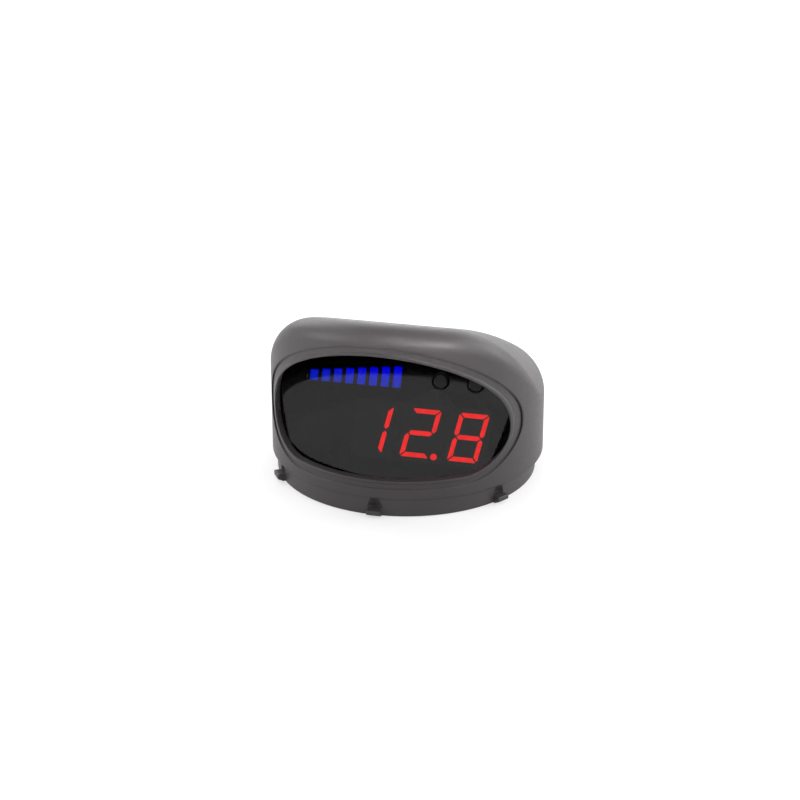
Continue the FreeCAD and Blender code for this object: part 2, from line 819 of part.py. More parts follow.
draw_rectangle(rib_sketch, port_width, port_length, (0, port_y))
pad(base_cover, rib_sketch, port_rim_height, "port_rim")
node(base_cover, "base_cover")

# ---------------------------------------------------------------- display stack

def panel_slab(name, front, back, width, low, high):
    """A flat block in the panel frame, between two depths behind the face."""
    return box(name, width, high - low, back - front, (-width / 2, low, -back))


sheet_limit = cavity_form("sheet_limit", fit_gap, lens_low)


def sheet_behind_window(name, front, back):
    """A sheet across the whole cavity: its edge follows the shell at a gap."""
    slab = panel_slab(f"{name}_slab", front, back, 3 * body_radius, -body_radius, body_radius)
    return common(name, on_panel(compound(f"{name}_plane", [slab])), sheet_limit)


button_places = ((button_inner_x, "left"), (button_outer_x, "right"))


def button_bores(name, radius, front, back):
    """Round holes for both buttons between two depths."""
    holes = [cylinder(f"{name}_{word}", radius, back - front, (x, button_y, -back)) for x, word in button_places]
    return on_panel(fuse(name, holes))


lens_sheet = sheet_behind_window("lens_sheet", dim(0), lens_thickness)
lens_bores = button_bores("lens_bores", button_hole, -fit_gap, lens_thickness + fit_gap)
node(cut("face_lens_cut", lens_sheet, lens_bores), "face_lens")


# Seven-segment digits ------------------------------------------------------------------

def digit_centre_x(step):
    return digit_right_x - digit_pitch * (2 - step)


slant_value = math.tan(math.radians(digit_slant.value))
slant = Dim(slant_value, f"tan({digit_slant.text})")


def slanted(x, y):
    """A point of the digit, leaned to the right with its height."""
    return x + slant * y, y


def segment_outlines():
    """The seven bars of a digit, mitred where they meet, about the digit's own centre."""
    side = digit_width / 2
    top = digit_height / 2
    inner_side = side - segment_thickness
    inner_top = top - segment_thickness
    half = segment_thickness / 2
    blunt = segment_tip * math.sqrt(0.5)

    def across(sign):
        right = [(side - segment_gap - segment_tip, top), (side - segment_gap - blunt, top - blunt),
                 (inner_side - segment_gap, inner_top)]
        return [(x, sign * y) for x, y in right] + [(-x, sign * y) for x, y in reversed(right)]

    def upright(across_sign, up_sign):
        corners = [(side, top - segment_gap - segment_tip), (side - blunt, top - segment_gap - blunt),
                   (inner_side, inner_top - segment_gap), (inner_side, half + segment_gap),
                   (side - half, segment_gap), (side, half + segment_gap)]
        return [(across_sign * x, up_sign * y) for x, y in corners]

    tip = side - half - segment_gap
    middle = [(tip, dim(0)), (inner_side - segment_gap, half), (segment_gap - inner_side, half),
              (-tip, dim(0)), (segment_gap - inner_side, -half), (inner_side - segment_gap, -half)]
    bars = {"a": across(1), "b": upright(1, 1), "c": upright(1, -1), "d": across(-1),
            "e": upright(-1, -1), "f": upright(-1, 1), "g": middle}
    return {letter: [slanted(x, y) for x, y in corners] for letter, corners in bars.items()}


def point_place(centre_x):
    """Centre of the decimal point at a digit's lower right."""
    return (centre_x + digit_width / 2 + point_offset - slant * digit_height / 2,
            digit_y - digit_height / 2 + point_radius - point_drop)


def segment_prisms(name, letters, centre_x, with_point):
    """Chosen segments of one digit, and its decimal point where asked, as inserts in its face."""
    body = new_body(name)
    sketch = new_sketch(body, f"{name}_outline", "XY_Plane", -insert_back)
    for letter, corners in segment_outlines().items():
        if letter in letters:
            draw_outline(sketch, [(centre_x + x, digit_y + y) for x, y in corners])
    if with_point:
        draw_circle(sketch, point_radius, point_place(centre_x))
    pad(body, sketch, segment_depth, f"{name}_pad")
    return body


all_segments = "abcdefg"
shown = {"left": ("bc", False), "centre": ("abged", True), "right": (all_segments, False)}
digit_names = tuple(shown)
insert_back = film_back + segment_depth
for step, word in enumerate(digit_names):
    centre_x = digit_centre_x(step)
    lit, point_lit = shown[word]
    dark = "".join(letter for letter in all_segments if letter not in lit)
    housing = centred_box(f"digit_{word}_block", module_width, module_height,
                          -board_front, -film_back, (centre_x, digit_y))
    lit_inserts = segment_prisms(f"lit_{word}", lit, centre_x, point_lit)
    node(on_panel(lit_inserts), f"lit_segments_{word}")
    dark_inserts = segment_prisms(f"dark_{word}", dark, centre_x, not point_lit)
    node(on_panel(dark_inserts), f"dark_segments_{word}")
    node(cut(f"digit_{word}_cut", on_panel(compound(f"digit_{word}_block_set", [housing])),
             fuse(f"sockets_{word}", [lit_inserts, dark_inserts])), f"digit_{word}")

# Pins of the three digits: two rows of five each, through the board.
pins = []
for step in range(3):
    for row_side in (-1, 1):
        for column in range(-2, 3):
            pins.append(centred_box(f"pin_{len(pins)}", pin_width, pin_width, -board_back - pin_length, -board_front,
                                    (digit_centre_x(step) + column * pin_pitch, digit_y + row_side * pin_rows / 2)))
digit_pins = on_panel(compound("digit_pin_set", pins))
node(digit_pins, "digit_pins")

# Eight-step bar ------------------------------------------------------------------------

bar_spread = bar_pitch * (bar_count - 1) + bar_width
guide_width = bar_spread + 2 * guide_margin
guide_high = bar_low + bar_first_height + bar_height_step * (bar_count - 1) + guide_margin
guide_low = bar_low - guide_margin * 0.9
guide_block = box("guide_block", guide_width, guide_high - guide_low, board_front - film_back,
                  (bar_left_x - guide_margin, guide_low, -board_front))


def bar_prisms(name, back, thickness):
    """The eight bars, each a little taller than the one to its left, as upright prisms."""
    body = new_body(name)
    sketch = new_sketch(body, f"{name}_outline", "XY_Plane", -back)
    for step in range(bar_count):
        height = bar_first_height + bar_height_step * step
        centre = (bar_left_x + bar_pitch * step + bar_width / 2, bar_low + height / 2)
        draw_rectangle(sketch, bar_width, height, centre)
    pad(body, sketch, thickness, f"{name}_pad")
    return body


bar_sockets = bar_prisms("bar_sockets", board_front, board_front - film_back)
node(on_panel(cut("bar_guide_cut", guide_block, bar_sockets)), "bar_guide")
node(on_panel(bar_prisms("bars", insert_back, segment_depth)), "bar_segments")
bar_lamps = new_body("bar_lamps")
lamp_width = bar_width - 2 * lamp_margin
lamp_sketch = new_sketch(bar_lamps, "lamp_outlines", "XY_Plane", -board_front)
for step in range(bar_count):
    centre = (bar_left_x + bar_pitch * step + bar_width / 2, bar_low + bar_first_height / 2)
    draw_rectangle(lamp_sketch, lamp_width, lamp_width, centre)
pad(bar_lamps, lamp_sketch, lamp_height, "lamp_pads")
node(on_panel(bar_lamps), "bar_leds")

# Light mask: black film between lens and frame, open over the digits, bars and buttons. ----

mask_sheet = sheet_behind_window("mask_sheet", lens_thickness, film_back)
window_front = -lens_thickness + fit_gap
window_back = -film_back - fit_gap
window_inset = window_margin * 2
mask_windows = fuse("mask_windows", [
    centred_box("digit_window", 2 * digit_pitch + module_width - window_inset, module_height - window_inset,
                window_back, window_front, (digit_right_x - digit_pitch, digit_y)),
    box("bar_window", guide_width - window_inset, guide_high - guide_low - window_inset, window_front - window_back,
        (bar_left_x - guide_margin + window_margin, guide_low + window_margin, window_back)),
])
mask_openings = on_panel(mask_windows)
mask_bores = button_bores("mask_bores", button_hole, lens_thickness - fit_gap, film_back + fit_gap)
node(cut("light_mask_cut", mask_sheet, fuse("mask_tools", [mask_openings, mask_bores])), "light_mask")

# ---------------------------------------------------------------- display frame

flange = sheet_behind_window("flange", film_back, flange_back)
frame_block = panel_slab("frame_block", flange_back, board_front, 2 * frame_half_width, -frame_low, frame_high)
ear_front = flange_back + lug_depth
frame_ears = panel_slab("frame_ears", ear_front, ear_front + ear_thickness,
                        2 * (panel_lug_x + panel_lug_radius),
                        panel_lug_y - panel_lug_radius, panel_lug_y + panel_lug_radius)
through_front = -film_back + fit_gap
through_back = -board_front - fit_gap
modules_width = 2 * digit_pitch + module_width + 2 * module_gap
frame_tools = [
    centred_box("module_pocket", modules_width, module_height + 2 * module_gap,
                through_back, through_front, (digit_right_x - digit_pitch, digit_y)),
    box("guide_pocket", guide_width + 2 * module_gap, guide_high - guide_low + 2 * module_gap,
        through_front - through_back,
        (bar_left_x - guide_margin - module_gap, guide_low - module_gap, through_back)),
]
for x, word in button_places:
    frame_tools.append(cylinder(f"cap_hole_{word}", button_flange + fit_gap, flange_back - film_back + 2 * fit_gap,
                                (x, button_y, -flange_back - fit_gap)))
    frame_tools.append(centred_box(f"switch_pocket_{word}", switch_width + 2 * pocket_gap,
                                   switch_width + 2 * pocket_gap, through_back, -flange_back, (x, button_y)))
for side, word in ((1, "right"), (-1, "left")):
    frame_tools.append(cylinder(f"ear_hole_{word}", screw_radius + screw_clearance, ear_thickness + 2 * fit_gap,
                                (side * panel_lug_x, panel_lug_y, -ear_front - ear_thickness - fit_gap)))
for x, y, name in board_screw_places:
    frame_tools.append(cylinder(f"{name}_pilot", screw_radius, board_screw_length, (x, y, -board_back)))

# A relief behind the flange, left of the digits, keeps the moulding's walls even.
relief_left = -frame_half_width + wall
relief_right = digit_right_x - digit_pitch - modules_width / 2 - wall
relief_low = -board_low + board_screw_rise + boss_radius
relief_high = guide_low - module_gap - wall
frame_tools.append(box("frame_relief", relief_right - relief_left, relief_high - relief_low,
                       board_front - flange_back + fit_gap, (relief_left, relief_low, through_back)))
frame_body = fuse("frame_body", [flange, on_panel(fuse("frame_blocks", [frame_block, frame_ears]))])
node(cut("display_frame_cut", frame_body, on_panel(fuse("frame_tools", frame_tools))), "display_frame")

# ---------------------------------------------------------------- circuit board and its parts

board = new_body("board_body")
board_sketch = new_sketch(board, "board_outline", "XY_Plane", -board_back)
draw_rectangle(board_sketch, 2 * board_half_width, board_low + board_high, (0, (board_high - board_low) / 2))
board_pad = pad(board, board_sketch, board_thickness, "board_plate")
doc.recompute()
corner_edges = [f"Edge{index + 1}" for index, edge in enumerate(board_pad.Shape.Edges)
                if edge.BoundBox.ZLength > board_thickness.value / 2]
board_rounding = board.newObject("PartDesign::Fillet", "board_corners")
board_rounding.Base = (board_pad, corner_edges)
bind(board_rounding, "Radius", board_corner)
board_holes = new_sketch(board, "board_holes", "XY_Plane", -board_front)
for x, y, name in board_screw_places:
    draw_circle(board_holes, screw_radius + screw_clearance, (x, y))
pocket(board, board_holes, board_thickness, "board_drilling")
node(cut("circuit_board_cut", on_panel(board), digit_pins), "circuit_board")


def board_block(label, width, length, height, centre):
    """A package on the back of the board with its front edges bevelled."""
    body = new_body(f"{label}_body")
    sketch = new_sketch(body, f"{label}_outline", "XY_Plane", -board_back)
    draw_rectangle(sketch, width, length, centre)
    feature = pad(body, sketch, height, f"{label}_pad")
    feature.Reversed = True
    return node(on_panel(body), label)


def board_blocks(label, width, length, height, centres):
    """Several packages of one size as one node."""
    body = new_body(f"{label}_body")
    sketch = new_sketch(body, f"{label}_outline", "XY_Plane", -board_back)
    for centre in centres:
        draw_rectangle(sketch, width, length, centre)
    feature = pad(body, sketch, height, f"{label}_pad")
    feature.Reversed = True
    return node(on_panel(body), label)


board_block("processor_chip", chip_width, chip_width, chip_height, (digit_right_x - digit_pitch / 2, digit_y))
board_block("driver_chip", driver_length, driver_width, driver_height, (driver_x, digit_y))
board_block("voltage_regulator", regulator_length, regulator_width, regulator_height, (regulator_x, passive_y))
board_block("crystal", crystal_length, crystal_width, crystal_height, (crystal_x, crystal_y))
board_blocks("chip_resistors", resistor_length, resistor_width, resistor_height,
             [(resistor_x + resistor_pitch * step, resistor_y) for step in range(resistor_count)])
board_blocks("chip_capacitors", capacitor_length, capacitor_width, capacitor_height,
             [(capacitor_x + capacitor_pitch * step, passive_y) for step in range(capacitor_count)])

can = new_body("can_body")
revolve(can, [
    (0, 0), (can_radius, 0), (can_radius, can_height * 0.16), (can_radius - can_groove, can_height * 0.2),
    (can_radius, can_height * 0.24), (can_radius, can_height - can_bevel), (can_radius - can_bevel, can_height),
    (0, can_height),
], "can_profile")
can_stand = place(turn(can, X_AXIS, 180), can_x, can_y, -board_back)
node(on_panel(compound("filter_capacitor_set", [can_stand])), "filter_capacitor")

# Data socket: a box open towards the collar, with a row of contacts in it.
socket_block = centred_box("socket_block", socket_width, socket_length, -board_back - socket_depth, -board_back,
                           (0, socket_y - socket_length / 2))
socket_mouth_length = socket_length - socket_floor
socket_hollow = centred_box("socket_hollow", socket_width - 2 * socket_wall, socket_mouth_length + fit_gap,
                            -board_back - socket_depth + socket_wall, -board_back - socket_wall,
                            (0, socket_y - socket_floor - (socket_mouth_length + fit_gap) / 2))
key_slot = centred_box("key_slot", socket_width / 3, socket_mouth_length / 2,
                       -board_back - socket_depth - fit_gap, -board_back - socket_depth + socket_wall + fit_gap,
                       (0, socket_y - socket_length + socket_mouth_length / 4 - fit_gap))
socket_tools = fuse("socket_tools", [socket_hollow, key_slot])
node(on_panel(cut("data_socket_cut", socket_block, socket_tools)), "data_socket")
contact_row = [centred_box(f"contact_{step}", contact_width, contact_length,
                           -board_back - socket_depth / 2 - contact_width / 2,
                           -board_back - socket_depth / 2 + contact_width / 2,
                           (contact_pitch * (step - (contact_count - 1) / 2),
                            socket_y - socket_floor - contact_length / 2))
               for step in range(contact_count)]
node(on_panel(compound("contact_row", contact_row)), "socket_contacts")

# ---------------------------------------------------------------- buttons and switches

cap_front = button_proud
cap_back = cap_front - button_length
flange_front = -film_back - button_rest_gap
flange_rear = flange_front - button_flange_thickness
bore_floor = cap_back + plunger_bore_depth
plunger_flange_front = -switch_front - plunger_play
plunger_flange_back = plunger_flange_front - plunger_flange_thickness
dome_floor = -switch_front - switch_cavity_depth
stub_end = dome_floor + dome_rise + button_travel + plunger_play


def turned_on_panel(label, x, corners):
    """A turned piece whose axis stands on the panel at one of the buttons."""
    body = new_body(f"{label}_body")
    revolve(body, corners, f"{label}_turned")
    stand = place(body, x, button_y, 0)
    return node(on_panel(compound(f"{label}_stand", [stand])), label)


for x, word in button_places:
    turned_on_panel(f"button_cap_{word}", x, [
        (0, cap_front), (button_radius - button_edge, cap_front), (button_radius, cap_front - button_edge),
        (button_radius, flange_front), (button_flange, flange_front), (button_flange, flange_rear),
        (button_skirt, flange_rear), (button_skirt, cap_back), (plunger_radius, cap_back),
        (plunger_radius, bore_floor), (0, bore_floor),
    ])
    turned_on_panel(f"switch_plunger_{word}", x, [
        (0, bore_floor), (plunger_radius, bore_floor), (plunger_radius, plunger_flange_front),
        (plunger_flange, plunger_flange_front), (plunger_flange, plunger_flange_back),
        (stub_radius, plunger_flange_back), (stub_radius, stub_end), (0, stub_end),
    ])
    turned_on_panel(f"contact_dome_{word}", x, [
        (dome_radius, dome_floor), (dome_radius * 0.85, dome_floor + dome_rise * 0.55),
        (dome_radius * 0.45, dome_floor + dome_rise * 0.92), (0, dome_floor + dome_rise),
        (0, dome_floor + dome_rise - dome_thickness),
        (dome_radius * 0.42, dome_floor + dome_rise * 0.92 - dome_thickness),
        (dome_radius * 0.79, dome_floor + dome_rise * 0.55 - dome_thickness),
        (dome_radius * 0.92, dome_floor),
    ])
    case = centred_box(f"switch_case_{word}", switch_width, switch_width, -board_front, -switch_front, (x, button_y))
    well = cylinder(f"switch_well_{word}", switch_cavity, switch_cavity_depth + fit_gap, (x, button_y, dome_floor))
    node(on_panel(cut(f"switch_body_{word}_cut", case, well)), f"switch_body_{word}")
    plate = centred_box(f"switch_plate_{word}", switch_width, switch_width, -switch_front, -switch_top, (x, button_y))
    guide = cylinder(f"switch_guide_{word}", plunger_radius + plunger_gap, 4 * switch_cover_thickness,
                     (x, button_y, -switch_front - switch_cover_thickness))
    node(on_panel(cut(f"switch_cover_{word}_cut", plate, guide)), f"switch_cover_{word}")

# ---------------------------------------------------------------- check and export

doc.recompute()
for obj in doc.Objects:
    if "Invalid" in obj.State or "Error" in obj.State:
        raise RuntimeError(f"{obj.Name} ({obj.Label}) did not rebuild: {obj.State}")

os.makedirs("parts", exist_ok=True)
for piece in nodes:
    shape = piece.Shape
    if shape.isNull() or not shape.isValid() or not shape.Solids:
        raise RuntimeError(f"{piece.Label} has no valid solid")
    shape.exportStep(f"parts/{piece.Label}.step")
    box_of = shape.BoundBox
    print(f"{piece.Label:24s} solids {len(shape.Solids):2d}  volume {shape.Volume:9.1f}  "
          f"z {box_of.ZMin:6.2f} to {box_of.ZMax:6.2f}")
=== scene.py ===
import math

import bpy
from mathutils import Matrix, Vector


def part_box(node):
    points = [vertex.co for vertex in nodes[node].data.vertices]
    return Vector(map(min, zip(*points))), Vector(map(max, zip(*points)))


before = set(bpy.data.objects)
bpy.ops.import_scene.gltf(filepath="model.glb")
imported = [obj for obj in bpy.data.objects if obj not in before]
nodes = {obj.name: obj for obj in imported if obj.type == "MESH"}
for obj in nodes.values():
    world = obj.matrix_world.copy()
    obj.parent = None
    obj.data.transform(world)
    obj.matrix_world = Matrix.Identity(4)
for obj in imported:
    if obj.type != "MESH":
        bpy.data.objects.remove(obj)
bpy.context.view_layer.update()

# Every visible piece is a CAD node with a procedural material. This script adds only the finishes,
# the floor, the light and the camera. Lengths are in metres and scales in features per metre.

# Noise stays near the middle of its range, so the ramps on it start and end inside the range.
NARROW = (0.35, 0.65)
WIDE = (0.30, 0.70)

# Moulded plastic
TONE_SCALE = 60
WEAR_SCALE = 1100
GRAIN_STRENGTH = 0.35
BEVEL_SAMPLES = 6

# Metal
METAL_GRAIN = 900
METAL_SHADE = 0.82
METAL_WEAR = 0.14
METAL_BUMP_STRENGTH = 0.15
METAL_BUMP_DEPTH = 0.00002

# Lit diffusers: the blue bars change colour between these shares of their height, from a painted reflection
# of the lit room below to the painted shade of the hood above.
PAINTED_SHADE_FROM = 0.309
PAINTED_SHADE_TO = 0.738
RED_MOTTLE_SCALE = 700
DIFFUSER_BASE = (0.01, 0.01, 0.01)
DIFFUSER_ROUGHNESS = 0.5

# Black surfaces behind the lens
BLACK_LEVEL = 0.006
BLACK_SHADE = 0.97
BLACK_ROUGHNESS = 0.7
BLACK_SPECULAR = 0.2
BLACK_SCALE = 40

# Circuit board
RUN_SCALE = 420
RUN_WIDTH = 0.09
BOARD_ROUGHNESS = 0.3
RUN_STRENGTH = 0.2
RUN_DEPTH = 0.00003

# Lens
LENS_IOR = 1.41
LENS_SPECULAR = 0.5
LENS_ROUGHNESS = (0.07, 0.09)
LENS_SCALE = 90

# Floor and backdrop: BACKDROP is what the camera, mirrors and glass see, AMBIENT what lights the rest.
FLOOR_SIZE = 6
FLOOR_DROP = 0.0002
FLOOR_BASE = 0.40
FLOOR_SHINE = 0.58
FLOOR_ROUGHNESS = 0.9
BACKDROP = 1.0
AMBIENT = 0.70

# Camera: angles in degrees, the lens and its sensor in millimetres
AZIMUTH = 13.57
ELEVATION = 24.79
DISTANCE = 0.6213
SENSOR_WIDTH = 36
FOCAL_LENGTH = 104
SHIFT_X = -0.0081
SHIFT_Y = 0.0747
CLIP_START = 0.01


# ------------------------------------------------------------------ node helpers

def opaque(colour):
    """A colour with the full alpha that Blender's colour sockets want."""
    return (*colour, 1)


def new_material(name):
    """A material with only a Principled shader and its output."""
    material = bpy.data.materials.new(name)
    material.use_nodes = True
    tree = material.node_tree
    tree.nodes.clear()
    shader = tree.nodes.new("ShaderNodeBsdfPrincipled")
    output = tree.nodes.new("ShaderNodeOutputMaterial")
    tree.links.new(shader.outputs["BSDF"], output.inputs["Surface"])
    return material, tree, shader, output


def object_noise(tree, scale, detail, roughness=0.5):
    """Noise fixed to the object."""
    place = tree.nodes.new("ShaderNodeTexCoord")
    noise = tree.nodes.new("ShaderNodeTexNoise")
    noise.inputs["Scale"].default_value = scale
    noise.inputs["Detail"].default_value = detail
    noise.inputs["Roughness"].default_value = roughness
    tree.links.new(place.outputs["Object"], noise.inputs["Vector"])
    return noise.outputs["Fac"]


def colours(tree, source, limits, first, last):
    """Turn a value between two limits into a colour between two colours."""
    node = tree.nodes.new("ShaderNodeValToRGB")
    for element, position, colour in zip(node.color_ramp.elements, limits, (first, last)):
        element.position = position
        element.color = opaque(colour)
    tree.links.new(source, node.inputs["Fac"])
    return node.outputs["Color"]


def numbers(tree, source, limits, first, last):
    """Turn a value between two limits into a number between two numbers."""
    node = tree.nodes.new("ShaderNodeMapRange")
    node.inputs["From Min"].default_value, node.inputs["From Max"].default_value = limits
    node.inputs["To Min"].default_value = first
    node.inputs["To Max"].default_value = last
    tree.links.new(source, node.inputs["Value"])
    return node.outputs["Result"]


def bump(tree, shader, height, strength, depth, normal=None):
    """Roughen the shader's surface by a height, on top of another normal where one is given."""
    node = tree.nodes.new("ShaderNodeBump")
    node.inputs["Strength"].default_value = strength
    node.inputs["Distance"].default_value = depth
    tree.links.new(height, node.inputs["Height"])
    if normal is not None:
        tree.links.new(normal, node.inputs["Normal"])
    tree.links.new(node.outputs["Normal"], shader.inputs["Normal"])


def seen_rays(tree):
    """1 for rays that see the backdrop, straight or by way of a mirror or glass, and 0 for the rest."""
    path = tree.nodes.new("ShaderNodeLightPath")
    seen = path.outputs["Is Camera Ray"]
    for kind in ("Is Glossy Ray", "Is Transmission Ray"):
        either = tree.nodes.new("ShaderNodeMath")
        either.operation = "MAXIMUM"
        tree.links.new(seen, either.inputs[0])
        tree.links.new(path.outputs[kind], either.inputs[1])
        seen = either.outputs["Value"]
    return seen


# ------------------------------------------------------------------ materials

def moulded_plastic(name, dark, light, roughness, grain, depth, edge=0.0, specular=0.5):
    """Moulded plastic: a fine spark-eroded grain, a slow change of tone, and softened edges where asked."""
    material, tree, shader, _ = new_material(name)
    tone = object_noise(tree, TONE_SCALE, detail=2)
    tree.links.new(colours(tree, tone, NARROW, dark, light), shader.inputs["Base Color"])
    wear = object_noise(tree, WEAR_SCALE, detail=3)
    tree.links.new(numbers(tree, wear, NARROW, *roughness), shader.inputs["Roughness"])
    shader.inputs["Specular IOR Level"].default_value = specular
    normal = None
    if edge > 0:
        soft = tree.nodes.new("ShaderNodeBevel")
        soft.samples = BEVEL_SAMPLES
        soft.inputs["Radius"].default_value = edge
        normal = soft.outputs["Normal"]
    speck = object_noise(tree, grain, detail=2, roughness=0.6)
    bump(tree, shader, speck, GRAIN_STRENGTH, depth, normal)
    return material


def metal(name, colour, roughness):
    """Plated or drawn metal with a fine mottle."""
    material, tree, shader, _ = new_material(name)
    shader.inputs["Metallic"].default_value = 1.0
    tone = object_noise(tree, METAL_GRAIN, detail=3)
    shade = tuple(value * METAL_SHADE for value in colour)
    tree.links.new(colours(tree, tone, WIDE, shade, colour), shader.inputs["Base Color"])
    tree.links.new(numbers(tree, tone, WIDE, roughness, roughness + METAL_WEAR), shader.inputs["Roughness"])
    bump(tree, shader, tone, METAL_BUMP_STRENGTH, METAL_BUMP_DEPTH)
    return material


def diffuser(name, strength):
    """A lit diffuser, without its colour."""
    material, tree, shader, _ = new_material(name)
    shader.inputs["Emission Strength"].default_value = strength
    shader.inputs["Base Color"].default_value = opaque(DIFFUSER_BASE)
    shader.inputs["Roughness"].default_value = DIFFUSER_ROUGHNESS
    return material, tree, shader.inputs["Emission Color"]


def mottled_light(name, dim, bright, strength):
    """A lit diffuser with faint brighter and dimmer spots."""
    material, tree, emission = diffuser(name, strength)
    cell = object_noise(tree, RED_MOTTLE_SCALE, detail=2)
    rise = numbers(tree, cell, NARROW, 0, 1)
    tree.links.new(colours(tree, rise, (0, 1), dim, bright), emission)
    return material


def glow_with_painted_shade(name, node, lit_foot, shaded_head, strength):
    """A lit diffuser whose colour shifts up the tilted panel: paler at the bottom as a painted reflection of
    the lit room, deeper blue at the top as the painted shade of the hood.
    """
    material, tree, emission = diffuser(name, strength)
    low, high = (corner[2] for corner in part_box(node))
    limits = tuple(low + share * (high - low) for share in (PAINTED_SHADE_FROM, PAINTED_SHADE_TO))
    place = tree.nodes.new("ShaderNodeTexCoord")
    split = tree.nodes.new("ShaderNodeSeparateXYZ")
    tree.links.new(place.outputs["Object"], split.inputs["Vector"])
    rise = numbers(tree, split.outputs["Z"], limits, 0, 1)
    tree.links.new(colours(tree, rise, (0, 1), lit_foot, shaded_head), emission)
    return material


def plain_black(name):
    """Smooth black behind the lens, of one depth of tone on every such surface so that they merge."""
    material, tree, shader, _ = new_material(name)
    shade = object_noise(tree, BLACK_SCALE, detail=1)
    darker = (BLACK_LEVEL * BLACK_SHADE,) * 3
    tree.links.new(colours(tree, shade, WIDE, darker, (BLACK_LEVEL,) * 3), shader.inputs["Base Color"])
    shader.inputs["Roughness"].default_value = BLACK_ROUGHNESS
    shader.inputs["Specular IOR Level"].default_value = BLACK_SPECULAR
    return material


def solder_mask():
    """Green circuit board with faint copper runs under the mask."""
    material, tree, shader, _ = new_material("solder_mask")
    place = tree.nodes.new("ShaderNodeTexCoord")
    runs = tree.nodes.new("ShaderNodeTexBrick")
    runs.inputs["Scale"].default_value = RUN_SCALE
    runs.inputs["Mortar Size"].default_value = RUN_WIDTH
    runs.inputs["Color1"].default_value = opaque((0.012, 0.080, 0.040))
    runs.inputs["Color2"].default_value = opaque((0.010, 0.065, 0.034))
    runs.inputs["Mortar"].default_value = opaque((0.035, 0.170, 0.080))
    tree.links.new(place.outputs["Object"], runs.inputs["Vector"])
    tree.links.new(runs.outputs["Color"], shader.inputs["Base Color"])
    shader.inputs["Roughness"].default_value = BOARD_ROUGHNESS
    bump(tree, shader, runs.outputs["Fac"], RUN_STRENGTH, RUN_DEPTH)
    return material


def smoked_lens():
    """Polished smoked acrylic: clear enough for the lit segments, with the room's reflection on it."""
    material, tree, shader, _ = new_material("smoked_lens")
    shader.inputs["Transmission Weight"].default_value = 1.0
    shader.inputs["IOR"].default_value = LENS_IOR
    shader.inputs["Specular IOR Level"].default_value = LENS_SPECULAR
    haze = object_noise(tree, LENS_SCALE, detail=2)
    tint = colours(tree, haze, WIDE, (0.197, 0.193, 0.195), (0.205, 0.201, 0.203))
    tree.links.new(tint, shader.inputs["Base Color"])
    tree.links.new(numbers(tree, haze, WIDE, *LENS_ROUGHNESS), shader.inputs["Roughness"])
    return material


shell = moulded_plastic("shell_plastic", (0.0340, 0.0300, 0.0310), (0.0380, 0.0335, 0.0345),
                        roughness=(0.44, 0.50), grain=2600, depth=0.00005, edge=0.0006, specular=0.42)
button_plastic = moulded_plastic("button_plastic", (0.005, 0.005, 0.005), (0.007, 0.007, 0.007),
                                 roughness=(0.35, 0.42), grain=4200, depth=0.00002, edge=0.0002,
                                 specular=0.35)
inner = moulded_plastic("inner_plastic", (0.010, 0.010, 0.010), (0.015, 0.015, 0.015),
                        roughness=(0.50, 0.65), grain=3600, depth=0.00004)
film = plain_black("mask_film")
case = plain_black("display_case")
dark_segment = plain_black("unlit_segment")
chip = moulded_plastic("chip_epoxy", (0.018, 0.018, 0.019), (0.026, 0.026, 0.027),
                       roughness=(0.45, 0.60), grain=4800, depth=0.00003)
white_moulding = moulded_plastic("white_moulding", (0.72, 0.71, 0.68), (0.78, 0.77, 0.74),
                                 roughness=(0.40, 0.50), grain=3000, depth=0.00002)
ceramic = moulded_plastic("fired_ceramic", (0.36, 0.26, 0.18), (0.44, 0.33, 0.23),
                          roughness=(0.35, 0.50), grain=3200, depth=0.00002)
steel = metal("plated_steel", (0.62, 0.62, 0.64), roughness=0.28)
black_steel = metal("black_steel", (0.05, 0.05, 0.052), roughness=0.38)
brass = metal("plated_brass", (0.78, 0.60, 0.30), roughness=0.25)
drawn_can = metal("drawn_can", (0.78, 0.78, 0.80), roughness=0.22)
red_lit = mottled_light("red_lit", (0.82, 0.0, 0.0), (1.0, 0.0, 0.0), strength=4.6)
# The blue bars carry painted light: a paler colour low down for the lit room's reflection, and a deeper blue
# high up for the hood's shade.
blue_lit = glow_with_painted_shade("blue_lit", "bar_segments", (0.0, 0.012, 0.40), (0.0, 0.0, 0.66), strength=5.0)

finishes = {
    "hood_shell": shell, "rear_cover": shell, "base_cover": inner, "face_lens": smoked_lens(),
    "light_mask": film, "display_frame": inner, "circuit_board": solder_mask(),
    "rear_screws": black_steel, "cover_screws": black_steel, "panel_screws": steel, "board_screws": steel,
    "bar_guide": case, "bar_segments": blue_lit, "bar_leds": white_moulding, "digit_pins": steel,
    "processor_chip": chip, "driver_chip": chip, "voltage_regulator": chip, "crystal": steel,
    "chip_resistors": chip, "chip_capacitors": ceramic, "filter_capacitor": drawn_can,
    "data_socket": white_moulding, "socket_contacts": brass,
}
for word in ("left", "centre", "right"):
    finishes[f"digit_{word}"] = case
    finishes[f"lit_segments_{word}"] = red_lit
    finishes[f"dark_segments_{word}"] = dark_segment
for word in ("left", "right"):
    finishes[f"button_cap_{word}"] = button_plastic
    finishes[f"switch_plunger_{word}"] = white_moulding
    finishes[f"switch_body_{word}"] = chip
    finishes[f"switch_cover_{word}"] = steel
    finishes[f"contact_dome_{word}"] = steel

for name, piece in nodes.items():
    for slot in piece.material_slots:
        slot.material = finishes[name]


# ------------------------------------------------------------------ floor, background and light

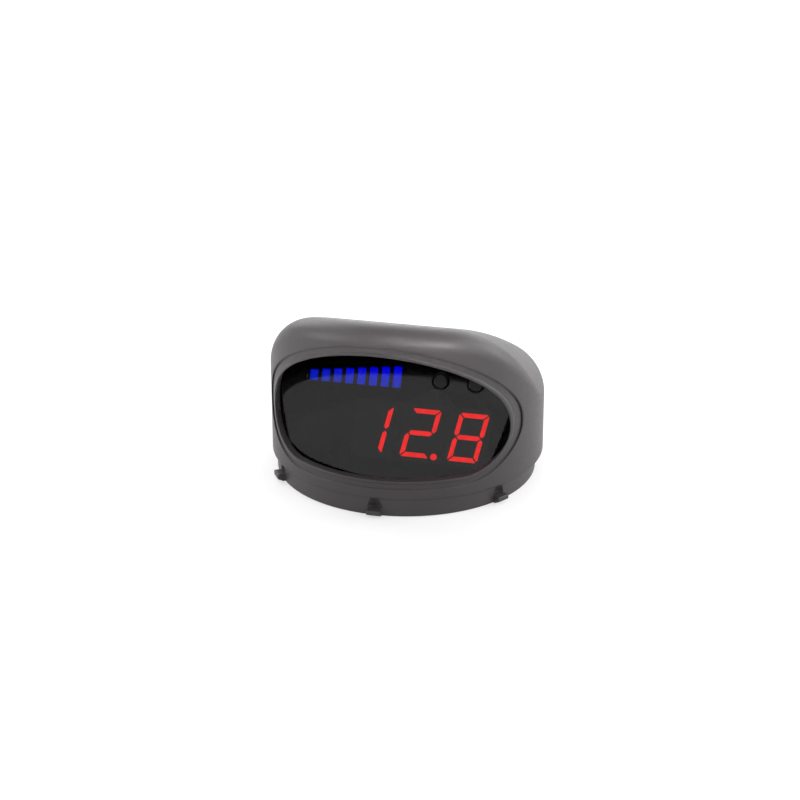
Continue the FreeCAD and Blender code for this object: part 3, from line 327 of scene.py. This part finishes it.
def floor_material():
    """A pale matt floor that is seen as white, with a soft shadow under the pod."""
    material, tree, shader, output = new_material("floor")
    shader.inputs["Base Color"].default_value = opaque((FLOOR_BASE,) * 3)
    shader.inputs["Roughness"].default_value = FLOOR_ROUGHNESS
    shine = tree.nodes.new("ShaderNodeEmission")
    tree.links.new(seen_rays(tree), shine.inputs["Strength"])
    shine.inputs["Color"].default_value = opaque((FLOOR_SHINE,) * 3)
    both = tree.nodes.new("ShaderNodeAddShader")
    tree.links.new(shader.outputs["BSDF"], both.inputs[0])
    tree.links.new(shine.outputs["Emission"], both.inputs[1])
    tree.links.new(both.outputs["Shader"], output.inputs["Surface"])
    return material


def studio_world():
    """A white backdrop for what is seen of it, and a dimmer one for what it lights."""
    world = bpy.data.worlds.new("studio")
    world.use_nodes = True
    tree = world.node_tree
    tree.nodes.clear()
    level = tree.nodes.new("ShaderNodeMix")
    level.data_type = "FLOAT"
    level.inputs["A"].default_value = AMBIENT
    level.inputs["B"].default_value = BACKDROP
    tree.links.new(seen_rays(tree), level.inputs["Factor"])
    background = tree.nodes.new("ShaderNodeBackground")
    background.inputs["Color"].default_value = opaque((1, 1, 1))
    tree.links.new(level.outputs["Result"], background.inputs["Strength"])
    output = tree.nodes.new("ShaderNodeOutputWorld")
    tree.links.new(background.outputs["Background"], output.inputs["Surface"])
    return world


def softbox(name, place, aim, width, height, power, fan=180):
    """A rectangular lamp. A narrow fan, in degrees, is a grid on its front that keeps the light to a band."""
    data = bpy.data.lights.new(name, "AREA")
    data.shape = "RECTANGLE"
    data.size = width
    data.size_y = height
    data.energy = power
    data.spread = math.radians(fan)
    lamp = bpy.data.objects.new(name, data)
    bpy.context.collection.objects.link(lamp)
    lamp.location = place
    lamp.rotation_euler = (Vector(aim) - Vector(place)).to_track_quat("-Z", "Y").to_euler()


bpy.ops.mesh.primitive_plane_add(size=FLOOR_SIZE, location=(0, 0, -FLOOR_DROP))
floor = bpy.context.object
floor.name = "floor"
floor.data.materials.append(floor_material())

bpy.context.scene.world = studio_world()

softbox("left_rear", (-0.50, 0.32, 0.40), (0, 0, 0.02), width=0.35, height=0.45, power=2.0)
softbox("rear", (0.0, 0.50, 0.30), (0, 0, 0.03), width=0.90, height=0.30, power=2.6)
softbox("right_front", (0.60, -0.25, 0.30), (0, 0, 0.02), width=0.35, height=0.35, power=1.7)
softbox("right_rear", (0.58, 0.26, 0.24), (0, 0, 0.02), width=0.35, height=0.40, power=2.4)
softbox("left_front", (-0.55, -0.35, 0.16), (0, 0, 0.02), width=0.30, height=0.30, power=1.6)
softbox("brow", (0.30, -0.42, 0.25), (0, -0.02, 0.062), width=0.30, height=0.03, power=0.105, fan=8)


# ------------------------------------------------------------------ camera

def photo_camera():
    """A camera at the photograph's viewing angle, whose shift frames the pod as the photograph does."""
    data = bpy.data.cameras.new("camera")
    data.sensor_width = SENSOR_WIDTH
    data.lens = FOCAL_LENGTH
    data.shift_x = SHIFT_X
    data.shift_y = SHIFT_Y
    data.clip_start = CLIP_START
    camera = bpy.data.objects.new("camera", data)
    bpy.context.collection.objects.link(camera)
    azimuth, elevation = math.radians(AZIMUTH), math.radians(ELEVATION)
    back = Vector((math.sin(azimuth) * math.cos(elevation),
                   -math.cos(azimuth) * math.cos(elevation),
                   math.sin(elevation)))
    camera.location = back * DISTANCE
    camera.rotation_euler = (-back).to_track_quat("-Z", "Y").to_euler()
    return camera


bpy.context.scene.camera = photo_camera()
bpy.context.scene.view_settings.view_transform = "Standard"
